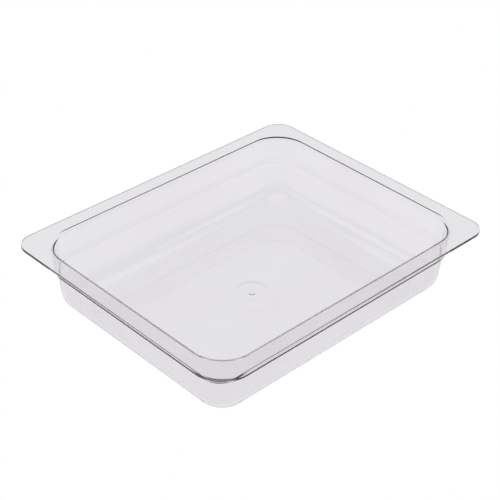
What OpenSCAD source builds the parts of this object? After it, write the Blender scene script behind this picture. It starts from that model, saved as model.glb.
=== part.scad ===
// Half-size food pan, 65 mm deep: one clear polycarbonate moulding of even thickness.
// The origin is the middle of the underside. X is the long side, Y the short side, Z is up.

/* [Rim] */
// Length of the rim, over its outer edges
rim_l = 325; // [300:1:400]
// Width of the rim, over its outer edges
rim_w = 265; // [240:1:325]
// Corner radius of the rim, seen from above
rim_corner_r = 17.5; // [12:0.5:20]
// Radius along the upper and lower outer edge of the rim
edge_r = 0.5; // [0.3:0.1:0.9]
// How far the rim stands out beyond the inside of the wall
overhang = 17; // [14:0.1:21]

/* [Body] */
// Height from the underside to the top of the rim
pan_h = 65; // [55:1:100]
// Thickness of the moulding
skin_t = 2.5; // [2:0.1:3]
// Draft of the wall above the shoulder, in degrees
upper_draft = 3.5; // [1:0.5:6]
// Draft of the wall below the shoulder, in degrees
lower_draft = 5.5; // [3:0.5:7]
// Corner radius of the mouth, seen from above
mouth_corner_r = 29; // [27:0.5:36]
// Radius where the rim turns down into the wall, on the food side
turn_r = 4; // [4:0.5:7]
// Radius where the wall meets the floor, on the underside
floor_r = 20; // [8:0.5:22]

/* [Stacking shoulder] */
// Depth of the shoulder below the top of the rim, on the food side
shoulder_drop = 23; // [18:0.5:30]
// How far the wall steps in at the shoulder
shoulder_in = 2.5; // [1:0.1:4]
// Height of the sloping step
shoulder_h = 2; // [1.5:0.1:6]

/* [Gate mark] */
// Diameter of the shallow dish under the floor, where the mould fills
gate_dish_d = 44; // [20:1:60]
// Diameter inside which the dish has its full depth
gate_flat_d = 26; // [14:1:40]
// Depth of that dish
gate_dish_depth = 0.5; // [0.3:0.1:0.8]
// Diameter of the gate's stub, in the middle of the dish
gate_stub_d = 6; // [3:0.5:10]

/* [Hidden] */
$fn = 96;
arc_steps = 8; // straight steps in each rounded corner of an outline

crease_r = 1; // the shoulder's upper edge on the food side
step_r = skin_t + 1; // the shoulder's lower edge on the food side, so that 1 mm is left outside
land = 4; // flat of the rim that belongs to the wall's outline, past the turn
gate_stub_h = gate_dish_depth * 0.7; // the stub stays inside the dish

// The wall's corners share one upright axis at each corner of the pan, so the radius of a
// corner shrinks with the draft.
axis_x = rim_l / 2 - overhang - mouth_corner_r;
axis_y = rim_w / 2 - overhang - mouth_corner_r;
rim_axis_x = rim_l / 2 - rim_corner_r;
rim_axis_y = rim_w / 2 - rim_corner_r;

shoulder_top = pan_h - shoulder_drop;
shoulder_foot = shoulder_top - shoulder_h;
hip = mouth_corner_r - shoulder_drop * tan(upper_draft);
foot = hip - shoulder_in - (shoulder_foot - skin_t) * tan(lower_draft);
fillet_r = min(floor_r - skin_t, foot - 2);

// Outline corners are [distance out, height, radius of the rounding]
food_side = [
    [mouth_corner_r + turn_r + land, pan_h, 0],
    [mouth_corner_r, pan_h, turn_r],
    [hip, shoulder_top, crease_r],
    [hip - shoulder_in, shoulder_foot, step_r],
    [foot, skin_t, fillet_r],
    [0, skin_t, 0]
];

underside = moved_left(food_side, skin_t);

rim_edge_w = 2 * skin_t; // the rim's outer strip, which follows the rim's own corners
edge = [
    [rim_corner_r, pan_h, edge_r],
    [rim_corner_r, pan_h - skin_t, edge_r],
    [rim_corner_r - rim_edge_w, pan_h - skin_t, 0],
    [rim_corner_r - rim_edge_w, pan_h, 0]
];

function xy(p) = [p.x, p.y];
function unit(v) = v / norm(v);
function left_of(v) = [-v.y, v.x];
function heading(a, b) = unit(xy(b) - xy(a));

// Left turns count as +1, right turns as -1, straight on or an end as 0
function turn(path, i) =
    i == 0 || i == len(path) - 1 ? 0
    : sign(cross(heading(path[i - 1], path[i]), heading(path[i], path[i + 1])));

// The same open path moved to its left by t, with its roundings kept concentric
function moved_left(path, t) = [
    for (i = [0 : len(path) - 1])
        let (
            before = left_of(heading(path[max(i - 1, 0)], path[max(i, 1)])),
            after = left_of(heading(path[min(i, len(path) - 2)], path[min(i + 1, len(path) - 1)])),
            place = xy(path[i]) + t * (before + after) / (1 + before * after)
        )
        [place.x, place.y, path[i][2] - t * turn(path, i)]
];

// An arc of radius r that rounds the corner b between a and c
function arc(a, b, c, r) =
    let (
        u = heading(b, a),
        v = heading(b, c),
        half = acos(u * v) / 2,
        centre = xy(b) + unit(u + v) * r / sin(half),
        middle = xy(b) - centre,
        sweep = (90 - half) * sign(cross(-u, v))
    )
    [for (i = [-1 : 2 / arc_steps : 1 + 0.01]) centre + r * turned(unit(middle), sweep * i)];

function turned(v, angle) = [
    v.x * cos(angle) - v.y * sin(angle),
    v.x * sin(angle) + v.y * cos(angle)
];

// The points of a closed outline, with its corners rounded
function rounded(path) =
    let (n = len(path))
    [
        for (i = [0 : n - 1])
            each path[i][2] > 0
                ? arc(path[(i + n - 1) % n], path[i], path[(i + 1) % n], path[i][2])
                : [xy(path[i])]
    ];

function reversed(path) = [for (i = [len(path) - 1 : -1 : 0]) path[i]];

// Carries a flat outline round a rounded rectangle whose corner axes stand at (x, y)
module carried_round(x, y) {
    axes = [[x, y], [-x, y], [-x, -y], [x, -y]];
    for (k = [0 : 3])
        translate(axes[k])
            rotate(90 * k) {
                rotate_extrude(angle = 90) children();
                rotate([90, 0, 0])
                    linear_extrude(k % 2 == 0 ? 2 * y : 2 * x) children();
            }
}

// A rounded rectangle whose corner axes stand at (x, y)
module rounded_rectangle(x, y, r) {
    square([2 * (x + r), 2 * y], center = true);
    square([2 * x, 2 * (y + r)], center = true);
    for (sx = [-1, 1], sy = [-1, 1])
        translate([sx * x, sy * y]) circle(r);
}

// Walls, shoulder, floor radius and the turn up into the rim
module walls() {
    carried_round(axis_x, axis_y)
        polygon(rounded(concat(food_side, reversed(underside))));
}

// Outer edge of the rim
module rim_edge() {
    carried_round(rim_axis_x, rim_axis_y) polygon(rounded(edge));
}

// Flat of the rim, between its edge and the turn
module rim_flat() {
    translate([0, 0, pan_h - skin_t])
        linear_extrude(skin_t)
            difference() {
                rounded_rectangle(rim_axis_x, rim_axis_y, rim_corner_r - rim_edge_w / 2);
                rounded_rectangle(axis_x, axis_y, mouth_corner_r + turn_r + land / 2);
            }
}

module floor_plate() {
    translate([-axis_x, -axis_y, 0]) cube([2 * axis_x, 2 * axis_y, skin_t]);
}

module pan() {
    color("#E2E0E6", 0.45) {
        difference() {
            union() {
                walls();
                rim_edge();
                rim_flat();
                floor_plate();
            }
            cylinder(d1 = gate_dish_d, d2 = gate_flat_d, h = gate_dish_depth);
        }
        translate([0, 0, gate_dish_depth - gate_stub_h])
            cylinder(d = gate_stub_d, h = gate_stub_h + skin_t / 2);
    }
}

pan();
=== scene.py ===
# A clear half-size food pan on a white table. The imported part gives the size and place,
# and a finely swept skin of the same shape carries the look.
import math
import bpy
import numpy as np
from mathutils import Matrix, Vector


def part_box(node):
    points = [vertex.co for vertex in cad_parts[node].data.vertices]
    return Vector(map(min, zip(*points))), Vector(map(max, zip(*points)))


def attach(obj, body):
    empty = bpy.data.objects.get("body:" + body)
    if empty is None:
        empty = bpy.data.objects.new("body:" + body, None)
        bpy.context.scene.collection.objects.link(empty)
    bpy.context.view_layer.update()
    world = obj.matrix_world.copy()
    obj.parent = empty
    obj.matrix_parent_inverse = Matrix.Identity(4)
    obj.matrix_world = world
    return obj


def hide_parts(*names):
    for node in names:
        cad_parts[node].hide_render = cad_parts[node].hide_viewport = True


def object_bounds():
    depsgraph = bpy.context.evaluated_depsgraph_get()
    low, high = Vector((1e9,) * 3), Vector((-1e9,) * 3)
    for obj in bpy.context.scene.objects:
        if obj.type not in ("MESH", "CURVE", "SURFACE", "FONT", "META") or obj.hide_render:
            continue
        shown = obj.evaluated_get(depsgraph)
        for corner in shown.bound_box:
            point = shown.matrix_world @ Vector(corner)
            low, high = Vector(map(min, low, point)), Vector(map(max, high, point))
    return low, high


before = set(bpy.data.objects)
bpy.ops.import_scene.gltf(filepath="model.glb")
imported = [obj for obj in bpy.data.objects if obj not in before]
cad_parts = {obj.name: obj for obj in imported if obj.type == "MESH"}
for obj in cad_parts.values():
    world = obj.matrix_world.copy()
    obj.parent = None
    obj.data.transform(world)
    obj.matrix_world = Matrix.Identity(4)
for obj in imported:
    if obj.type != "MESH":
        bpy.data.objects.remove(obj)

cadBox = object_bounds()
mm = 0.001


def linearColour(hexText):
    # sRGB hex to linear: divide by 12.92 near black, otherwise the 2.4 power curve
    parts = [int(hexText[i:i + 2], 16) / 255 for i in (1, 3, 5)]
    return [p / 12.92 if p <= 0.04045 else ((p + 0.055) / 1.055) ** 2.4 for p in parts] + [1.0]


# The pan's shape
panShape = {
    "skin": 2.5 * mm,            # thickness of the moulding
    "rimCorner": 17.5 * mm,      # corner radius of the rim
    "edgeRadius": 0.5 * mm,      # along the upper and lower outer edge of the rim
    "edgeStrip": 5.0 * mm,       # strip of the rim that follows the rim's own corners
    "overhang": 17.0 * mm,       # rim beyond the inside of the wall
    "mouthCorner": 29.0 * mm,    # corner radius of the mouth
    "turn": 4.0 * mm,            # radius from the rim into the wall
    "land": 4.0 * mm,            # flat of the rim past the turn
    "upperDraft": 3.5,           # degrees, above the shoulder
    "lowerDraft": 5.5,           # degrees, below it
    "shoulderDrop": 23.0 * mm,
    "shoulderIn": 2.5 * mm,
    "shoulderHeight": 2.0 * mm,
    "crease": 1.0 * mm,          # upper edge of the shoulder, food side
    "floorRadius": 20.0 * mm,    # underside radius from wall to floor
    "floorStart": 5.0 * mm,      # corner radius where the flat of the floor is divided anew
    "gateDish": 22.0 * mm,       # radius of the dish round the gate
    "gateFlat": 13.0 * mm,       # radius where the dish's soft side starts
    "gateDepth": 0.5 * mm,
    "gateStub": 3.0 * mm,        # radius of the gate's stub
    "gateClear": 0.15 * mm,      # height of the stub's face above the table
    "gateSide": 1.2 * mm,        # width of the stub's soft side
    "plainCircle": 26.0 * mm,    # past the dish, the last full circle of the floor
    "arcSteps": 18,
    "cornerSteps": 40,
    "sideSteps": 10,
    "dishSteps": 8,
    "passingSteps": 8,           # rows from the last circle to the floor's outline
    "support": 0.25 * mm,        # a row this close to each arc keeps the flats flat
}


def unit(v):
    return v / np.linalg.norm(v)


def movedLeft(path, distance):
    # Each corner moves along the mean of its two edge normals. Left turns lose radius and
    # right turns gain it.
    points = path[:, :2]
    ways = np.diff(points, axis=0)
    ways /= np.linalg.norm(ways, axis=1)[:, None]
    before = np.vstack([ways[:1], ways])
    after = np.vstack([ways, ways[-1:]])
    normalA = np.stack([-before[:, 1], before[:, 0]], 1)
    normalB = np.stack([-after[:, 1], after[:, 0]], 1)
    share = 1 + (normalA * normalB).sum(1, keepdims=True)
    turns = np.sign(np.round(before[:, 0] * after[:, 1] - before[:, 1] * after[:, 0], 9))
    moved = points + distance * (normalA + normalB) / share
    return np.column_stack([moved, path[:, 2] - distance * turns])


def roundedPath(path, steps, support):
    # Straight edges joined by arcs tangent to both, with one extra point on each edge beside an arc
    points = [path[0, :2]]
    for a, b, c in zip(path[:-2], path[1:-1], path[2:]):
        u, v = unit(a[:2] - b[:2]), unit(c[:2] - b[:2])
        half = math.acos(np.clip(u @ v, -1, 1)) / 2
        reach = b[2] / math.tan(half)
        centre = b[:2] + unit(u + v) * b[2] / math.sin(half)
        start, end = b[:2] + u * reach - centre, b[:2] + v * reach - centre
        angle = math.pi - 2 * half
        k = np.linspace(0, 1, steps + 1)[:, None]
        arc = (np.sin((1 - k) * angle) * start + np.sin(k * angle) * end) / math.sin(angle)
        points += [b[:2] + u * (reach + support), *(centre + arc), b[:2] + v * (reach + support)]
    points.append(path[-1, :2])
    return np.array(points)


def panRings(s, length, width, height):
    # Rows of [corner axis x, corner axis y, radius, height, share of circle, circle radius], floor's
    # middle to rim on the food side, round the rim's edge, and back to the middle underneath
    axis = np.array([length / 2, width / 2]) - s["overhang"] - s["mouthCorner"]
    rimAxis = np.array([length / 2, width / 2]) - s["rimCorner"]
    t, r, top = s["skin"], s["mouthCorner"], height
    hip = r - s["shoulderDrop"] * math.tan(math.radians(s["upperDraft"]))
    shoulder = top - s["shoulderDrop"]
    step = shoulder - s["shoulderHeight"]
    foot = hip - s["shoulderIn"] - (step - t) * math.tan(math.radians(s["lowerDraft"]))
    foodSide = np.array([
        [r + s["turn"] + s["land"], top, 0],
        [r, top, s["turn"]],
        [hip, shoulder, s["crease"]],
        [hip - s["shoulderIn"], step, t + s["crease"]],
        [foot, t, s["floorRadius"] - t],
        [s["floorStart"], t, 0]])
    underside = movedLeft(foodSide, t)
    rc, strip = s["rimCorner"], s["edgeStrip"]
    edge = np.array([
        [rc - strip, top, 0],
        [rc, top, s["edgeRadius"]],
        [rc, top - t, s["edgeRadius"]],
        [rc - strip, top - t, 0]])

    def rows(path, centre):
        p = roundedPath(path, s["arcSteps"], s["support"])
        return np.column_stack([np.tile(centre, (len(p), 1)), p, np.zeros((len(p), 2))])

    def floorRows(z, circles):
        # circles round the gate, then rows that pass from the last circle to the floor's outline
        n = s["passingSteps"] - 1
        passing = np.column_stack([
            np.tile(axis, (n, 1)), np.full(n, s["floorStart"]), np.full(n, z),
            np.linspace(1, 0, n + 2)[1:-1], np.full(n, circles[-1, 0])])
        m = len(circles)
        inner = np.column_stack([
            np.tile(axis, (m, 1)), np.zeros(m), circles[:, 1], np.ones(m), circles[:, 0]])
        return np.vstack([inner, passing])

    dish, flat, stub = s["gateDish"], s["gateFlat"], s["gateStub"]
    deep, low, plain = s["gateDepth"], s["gateClear"], s["plainCircle"]
    insideCircles = np.array([[r, t] for r in (stub / 2, stub, dish / 2, dish, plain)])
    # Each side, the stub's and the dish's, is half a cosine wave
    slope = np.linspace(0, 1, s["dishSteps"] + 1)
    wave = (1 + np.cos(math.pi * slope)) / 2
    stubSide = np.column_stack([stub - s["gateSide"] * (1 - slope), deep - (deep - low) * wave])
    dishSide = np.column_stack([flat + (dish - flat) * slope, deep * wave])
    underCircles = np.vstack([
        [[stub / 3, low]], stubSide, [[(stub + flat) / 2, deep]], dishSide, [[plain, 0.0]]])
    return np.vstack([
        floorRows(t, insideCircles),
        rows(foodSide, axis)[::-1],
        rows(edge, rimAxis),
        rows(underside, axis),
        floorRows(0.0, underCircles)[::-1]])


def sweptShell(name, rings, s):
    # Point = corner axis + radius * (cos, sin) at the corners, straight between them, and each row
    # passes to a circle by its share. The two ends close in a fan.
    quarter = np.linspace(0, math.pi / 2, s["cornerSteps"] + 1)
    angles = np.concatenate([quarter + k * math.pi / 2 for k in range(4)])
    signs = np.repeat(np.array([[1, 1], [-1, 1], [-1, -1], [1, -1]]), len(quarter), axis=0)
    corner = np.stack([np.cos(angles), np.sin(angles)], 1)
    xy = signs[None] * rings[:, None, :2] + rings[:, None, 2:3] * corner[None]
    xy = xy.reshape(len(rings), 4, len(quarter), 2)
    nextStart = np.roll(xy[:, :, :1], -1, axis=1)
    share = np.linspace(0, 1, s["sideSteps"] + 1)[1:-1].reshape(1, 1, -1, 1)
    sides = xy[:, :, -1:] * (1 - share) + nextStart * share
    loop = np.concatenate([xy, sides], axis=2).reshape(len(rings), -1, 2)
    around = loop.shape[1]
    outline = loop[rings[:, 4] == 0][0]
    turnAngle = np.arctan2(outline[:, 1], outline[:, 0])
    circle = np.stack([np.cos(turnAngle), np.sin(turnAngle)], 1)
    w = rings[:, 4].reshape(-1, 1, 1)
    loop = loop * (1 - w) + circle[None] * rings[:, 5].reshape(-1, 1, 1) * w
    z = np.repeat(rings[:, 3:4], around, axis=1)[..., None]
    grid = np.concatenate([loop, z], axis=2).reshape(-1, 3)
    poles = np.array([[0, 0, rings[0, 3]], [0, 0, rings[-1, 3]]])
    index = np.arange(len(rings) * around).reshape(len(rings), around)
    right = np.roll(index, -1, axis=1)
    quads = np.stack([index[:-1], right[:-1], right[1:], index[1:]], -1).reshape(-1, 4)
    firstPole, lastPole = len(grid), len(grid) + 1
    capA = np.stack([np.full(around, firstPole), right[0], index[0]], 1)
    capB = np.stack([np.full(around, lastPole), index[-1], right[-1]], 1)
    mesh = bpy.data.meshes.new(name)
    faces = [face for group in (quads, capA, capB) for face in group[:, ::-1].tolist()]
    mesh.from_pydata(np.vstack([grid, poles]).tolist(), [], faces)
    mesh.validate()
    mesh.polygons.foreach_set("use_smooth", np.ones(len(mesh.polygons), dtype=bool))
    mesh.update()
    piece = bpy.data.objects.new(name, mesh)
    bpy.context.collection.objects.link(piece)
    return piece


def addNode(tree, kind, settings=None, links=None):
    # One node: plain settings are attributes, numbers or names in links are input sockets
    node = tree.nodes.new(kind)
    for key, value in (settings or {}).items():
        setattr(node, key, value)
    for key, value in (links or {}).items():
        if isinstance(value, bpy.types.NodeSocket):
            tree.links.new(value, node.inputs[key])
        else:
            node.inputs[key].default_value = value
    return node


def newMaterial(name):
    material = bpy.data.materials.new(name)
    material.use_nodes = True
    material.node_tree.nodes.clear()
    return material, material.node_tree


def perMetre(period):
    # Texture scale whose blobs are about this long
    return 1.0 / period


clearLook = {
    "clear": "#FCFBFD",
    "deeper": "#F9F6FA",             # where the flow left the toner a little denser
    "ior": 1.585,
    "roughness": (0.045, 0.075),     # polished tool, and where it has dulled
    "scuffed": 0.10,                 # added on the underside, where the pan slides
    "scuffTop": 1.0 * mm,
    "tonerPeriod": 70 * mm,
    "flowPeriod": 22 * mm,
    "ringPeriod": 12 * mm,
    "dullPeriod": 3 * mm,
    "dullRange": (0.35, 0.65),       # noise levels between polished and dulled
    "scuffPeriod": (2 * mm, 30 * mm, 2 * mm),
    "scuffTurn": 25,                 # degrees from the long side
    "scuffRange": (0.52, 0.68),      # noise levels between no scuff and a full one
    "ripple": 0.004 * mm,            # height of the flow ripple
    "ringShare": 0.25,               # of the ripple, from rings round the gate
    "ringBend": 2.0,
}


def clearPolycarbonate():
    # Clear polycarbonate, injection moulded in a polished tool: bright, almost no haze, a faint
    # violet cast from the toner that hides its yellow, a slight ripple where the melt flowed out
    # from the gate, and fine scuffs on the face that it stands on.
    c = clearLook
    material, tree = newMaterial("clearPolycarbonateMoulded")
    place = addNode(tree, "ShaderNodeTexCoord").outputs["Object"]
    toner = addNode(tree, "ShaderNodeTexNoise", links={
        "Vector": place, "Scale": perMetre(c["tonerPeriod"]), "Detail": 1.0})
    tint = addNode(tree, "ShaderNodeMix", {"data_type": "RGBA"}, {
        "Factor": toner.outputs["Fac"], 6: linearColour(c["clear"]), 7: linearColour(c["deeper"])})
    flow = addNode(tree, "ShaderNodeTexNoise", links={
        "Vector": place, "Scale": perMetre(c["flowPeriod"]), "Detail": 1.0})
    # a wave texture repeats every pi / (10 * scale)
    rings = addNode(tree, "ShaderNodeTexWave", {
        "wave_type": "RINGS", "rings_direction": "Z", "wave_profile": "SIN"}, {
        "Vector": place, "Scale": math.pi / 10 * perMetre(c["ringPeriod"]), "Distortion": c["ringBend"],
        "Detail": 1.0, "Detail Scale": 0.5})
    ripple = addNode(tree, "ShaderNodeMix", {"data_type": "FLOAT"}, {
        "Factor": c["ringShare"], 2: flow.outputs["Fac"], 3: rings.outputs["Fac"]})
    bump = addNode(tree, "ShaderNodeBump", links={
        "Strength": 1.0, "Distance": c["ripple"], "Height": ripple.outputs[0]})
    dull = addNode(tree, "ShaderNodeTexNoise", links={
        "Vector": place, "Scale": perMetre(c["dullPeriod"]), "Detail": 3.0})
    polish = addNode(tree, "ShaderNodeMapRange", links={
        "Value": dull.outputs["Fac"],
        "From Min": c["dullRange"][0], "From Max": c["dullRange"][1],
        "To Min": c["roughness"][0], "To Max": c["roughness"][1]})
    stretched = addNode(tree, "ShaderNodeMapping", links={
        "Vector": place, "Rotation": (0.0, 0.0, math.radians(c["scuffTurn"])),
        "Scale": [perMetre(p) for p in c["scuffPeriod"]]})
    scratch = addNode(tree, "ShaderNodeTexNoise", links={
        "Vector": stretched.outputs["Vector"], "Scale": 1.0, "Detail": 3.0})
    height = addNode(tree, "ShaderNodeSeparateXYZ", links={0: place}).outputs["Z"]
    below = addNode(tree, "ShaderNodeMapRange", links={
        "Value": height, "From Min": 0.0, "From Max": c["scuffTop"], "To Min": 1.0, "To Max": 0.0})
    streak = addNode(tree, "ShaderNodeMapRange", links={
        "Value": scratch.outputs["Fac"],
        "From Min": c["scuffRange"][0], "From Max": c["scuffRange"][1],
        "To Min": 0.0, "To Max": c["scuffed"]})
    scuffs = addNode(tree, "ShaderNodeMath", {"operation": "MULTIPLY"}, {
        0: below.outputs["Result"], 1: streak.outputs["Result"]})
    roughness = addNode(tree, "ShaderNodeMath", {"operation": "ADD"}, {
        0: polish.outputs["Result"], 1: scuffs.outputs["Value"]})
    shader = addNode(tree, "ShaderNodeBsdfPrincipled", links={
        "Base Color": tint.outputs[2],
        "Metallic": 0.0,
        "IOR": c["ior"],
        "Roughness": roughness.outputs["Value"],
        "Transmission Weight": 1.0,
        "Normal": bump.outputs["Normal"],
    })
    addNode(tree, "ShaderNodeOutputMaterial", links={"Surface": shader.outputs["BSDF"]})
    return material


tableLook = {
    "colour": "#FFFFFF",
    "seenBright": 1.0,           # where the camera sees it directly
    "paper": "#606060",
    "paperRoughness": 0.9,
    "paperGloss": 0.1,
    "glow": 0.79,                # where it is seen through the plastic
    "size": 1.3,                 # metres
    "gap": 0.3 * mm,             # below the pan
}


def whiteTable():
    # Matt white laminate under studio light. Seen directly it is exposed to pure white, as a
    # cut-out product shot is; through the plastic it keeps its shading.
    material, tree = newMaterial("whiteTableLaminate")
    path = addNode(tree, "ShaderNodeLightPath")
    glow = addNode(tree, "ShaderNodeEmission", links={
        "Color": linearColour(tableLook["colour"]), "Strength": tableLook["seenBright"]})
    paper = addNode(tree, "ShaderNodeBsdfPrincipled", links={
        "Base Color": linearColour(tableLook["paper"]),
        "Roughness": tableLook["paperRoughness"], "Specular IOR Level": tableLook["paperGloss"],
        "Emission Color": linearColour(tableLook["colour"]), "Emission Strength": tableLook["glow"]})
    mix = addNode(tree, "ShaderNodeMixShader", links={
        0: path.outputs["Is Camera Ray"], 1: paper.outputs["BSDF"], 2: glow.outputs["Emission"]})
    addNode(tree, "ShaderNodeOutputMaterial", links={"Surface": mix.outputs["Shader"]})
    return material


cameraLook = {
    "azimuth": -44.175, "elevation": 34.435, "roll": 1.085,   # degrees
    "distance": 1.2208, "lens": 99.856, "sensor": 36, "farthest": 50,
    "aim": (-0.00705, -0.00353, 0.05415),
}


def placeCamera():
    c = cameraLook
    a, e, roll = (math.radians(c[k]) for k in ("azimuth", "elevation", "roll"))
    back = Vector((math.sin(a) * math.cos(e), -math.cos(a) * math.cos(e), math.sin(e)))
    level = Vector((math.cos(a), math.sin(a), 0))
    rise = back.cross(level)
    right = level * math.cos(roll) + rise * math.sin(roll)
    up = rise * math.cos(roll) - level * math.sin(roll)
    data = bpy.data.cameras.new("studioCamera")
    data.lens = c["lens"]
    data.sensor_width = c["sensor"]
    data.clip_end = c["farthest"]
    camera = bpy.data.objects.new("studioCamera", data)
    place = Vector(c["aim"]) + back * c["distance"]
    camera.matrix_world = Matrix.Translation(place) @ Matrix((right, up, back)).transposed().to_4x4()
    bpy.context.collection.objects.link(camera)
    bpy.context.scene.camera = camera


lightLook = {
    "overhead": {"at": (0.0, 0.2, 1.6), "size": (2.2, 1.6), "power": 3.0},
    "left": {"at": (-1.6, 0.9, 0.9), "size": (1.2, 1.0), "power": 2.0},
    "right": {"at": (1.5, -0.9, 0.9), "size": (1.0, 1.0), "power": 1.5},
}


def softBox(name, at, size, power):
    data = bpy.data.lights.new(name, "AREA")
    data.shape = "RECTANGLE"
    data.size, data.size_y = size
    data.energy = power
    lamp = bpy.data.objects.new(name, data)
    lamp.location = at
    lamp.rotation_euler = (-Vector(at)).to_track_quat("-Z", "Y").to_euler()
    bpy.context.collection.objects.link(lamp)


roomLook = {
    "horizon": 0.25, "zenith": 0.5,
    "risesFrom": 0.65,               # sine of the angle above the horizon
    "wall": 0.5,                     # added by the pale wall behind the table
    "wallWay": (0.7, 0.714, 0.0),
    "wallFades": (0.3, 0.9),         # cosine of the angle from that wall, none and full
}


def darkRoom():
    # World: the room round the table, dark at the horizon, lighter overhead and towards one wall.
    # Seen directly it is white, as the table is.
    c = roomLook
    world = bpy.data.worlds.new("studioRoom")
    bpy.context.scene.world = world
    world.use_nodes = True
    tree = world.node_tree
    tree.nodes.clear()
    way = addNode(tree, "ShaderNodeTexCoord").outputs["Generated"]
    height = addNode(tree, "ShaderNodeSeparateXYZ", links={0: way}).outputs["Z"]
    ceiling = addNode(tree, "ShaderNodeMapRange", links={
        "Value": height, "From Min": c["risesFrom"], "From Max": 1.0,
        "To Min": c["horizon"], "To Max": c["zenith"]})
    facing = addNode(tree, "ShaderNodeVectorMath", {"operation": "DOT_PRODUCT"}, {
        0: way, 1: c["wallWay"]})
    wall = addNode(tree, "ShaderNodeMapRange", links={
        "Value": facing.outputs["Value"],
        "From Min": c["wallFades"][0], "From Max": c["wallFades"][1],
        "To Min": 0.0, "To Max": c["wall"]})
    light = addNode(tree, "ShaderNodeMath", {"operation": "ADD"}, {
        0: ceiling.outputs["Result"], 1: wall.outputs["Result"]})
    room = addNode(tree, "ShaderNodeBackground", links={
        "Color": (1.0, 1.0, 1.0, 1.0), "Strength": light.outputs["Value"]})
    white = addNode(tree, "ShaderNodeBackground", links={
        "Color": (1.0, 1.0, 1.0, 1.0), "Strength": 1.0})
    path = addNode(tree, "ShaderNodeLightPath")
    seen = addNode(tree, "ShaderNodeMixShader", links={
        0: path.outputs["Is Camera Ray"],
        1: room.outputs["Background"], 2: white.outputs["Background"]})
    addNode(tree, "ShaderNodeOutputWorld", links={"Surface": seen.outputs["Shader"]})


def layTable():
    half = tableLook["size"] / 2
    below = cadBox[0][2] - tableLook["gap"]
    mesh = bpy.data.meshes.new("table")
    corners = [(-half, -half, below), (half, -half, below), (half, half, below), (-half, half, below)]
    mesh.from_pydata(corners, [], [(0, 1, 2, 3)])
    table = bpy.data.objects.new("table", mesh)
    bpy.context.collection.objects.link(table)
    mesh.materials.append(whiteTable())


low, high = (np.array(corner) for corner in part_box("pan"))
size = high - low
rings = panRings(panShape, *size)
pan = sweptShell("panShell", rings, panShape)
pan.data.materials.append(clearPolycarbonate())
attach(pan, "root")
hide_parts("pan")
print("pan: %d faces" % len(pan.data.polygons))

placeCamera()
print("camera is placed")
layTable()
darkRoom()
for name, light in lightLook.items():
    softBox(name + "SoftBox", **light)
bpy.context.scene.view_settings.view_transform = "Standard"
print("studio is set")
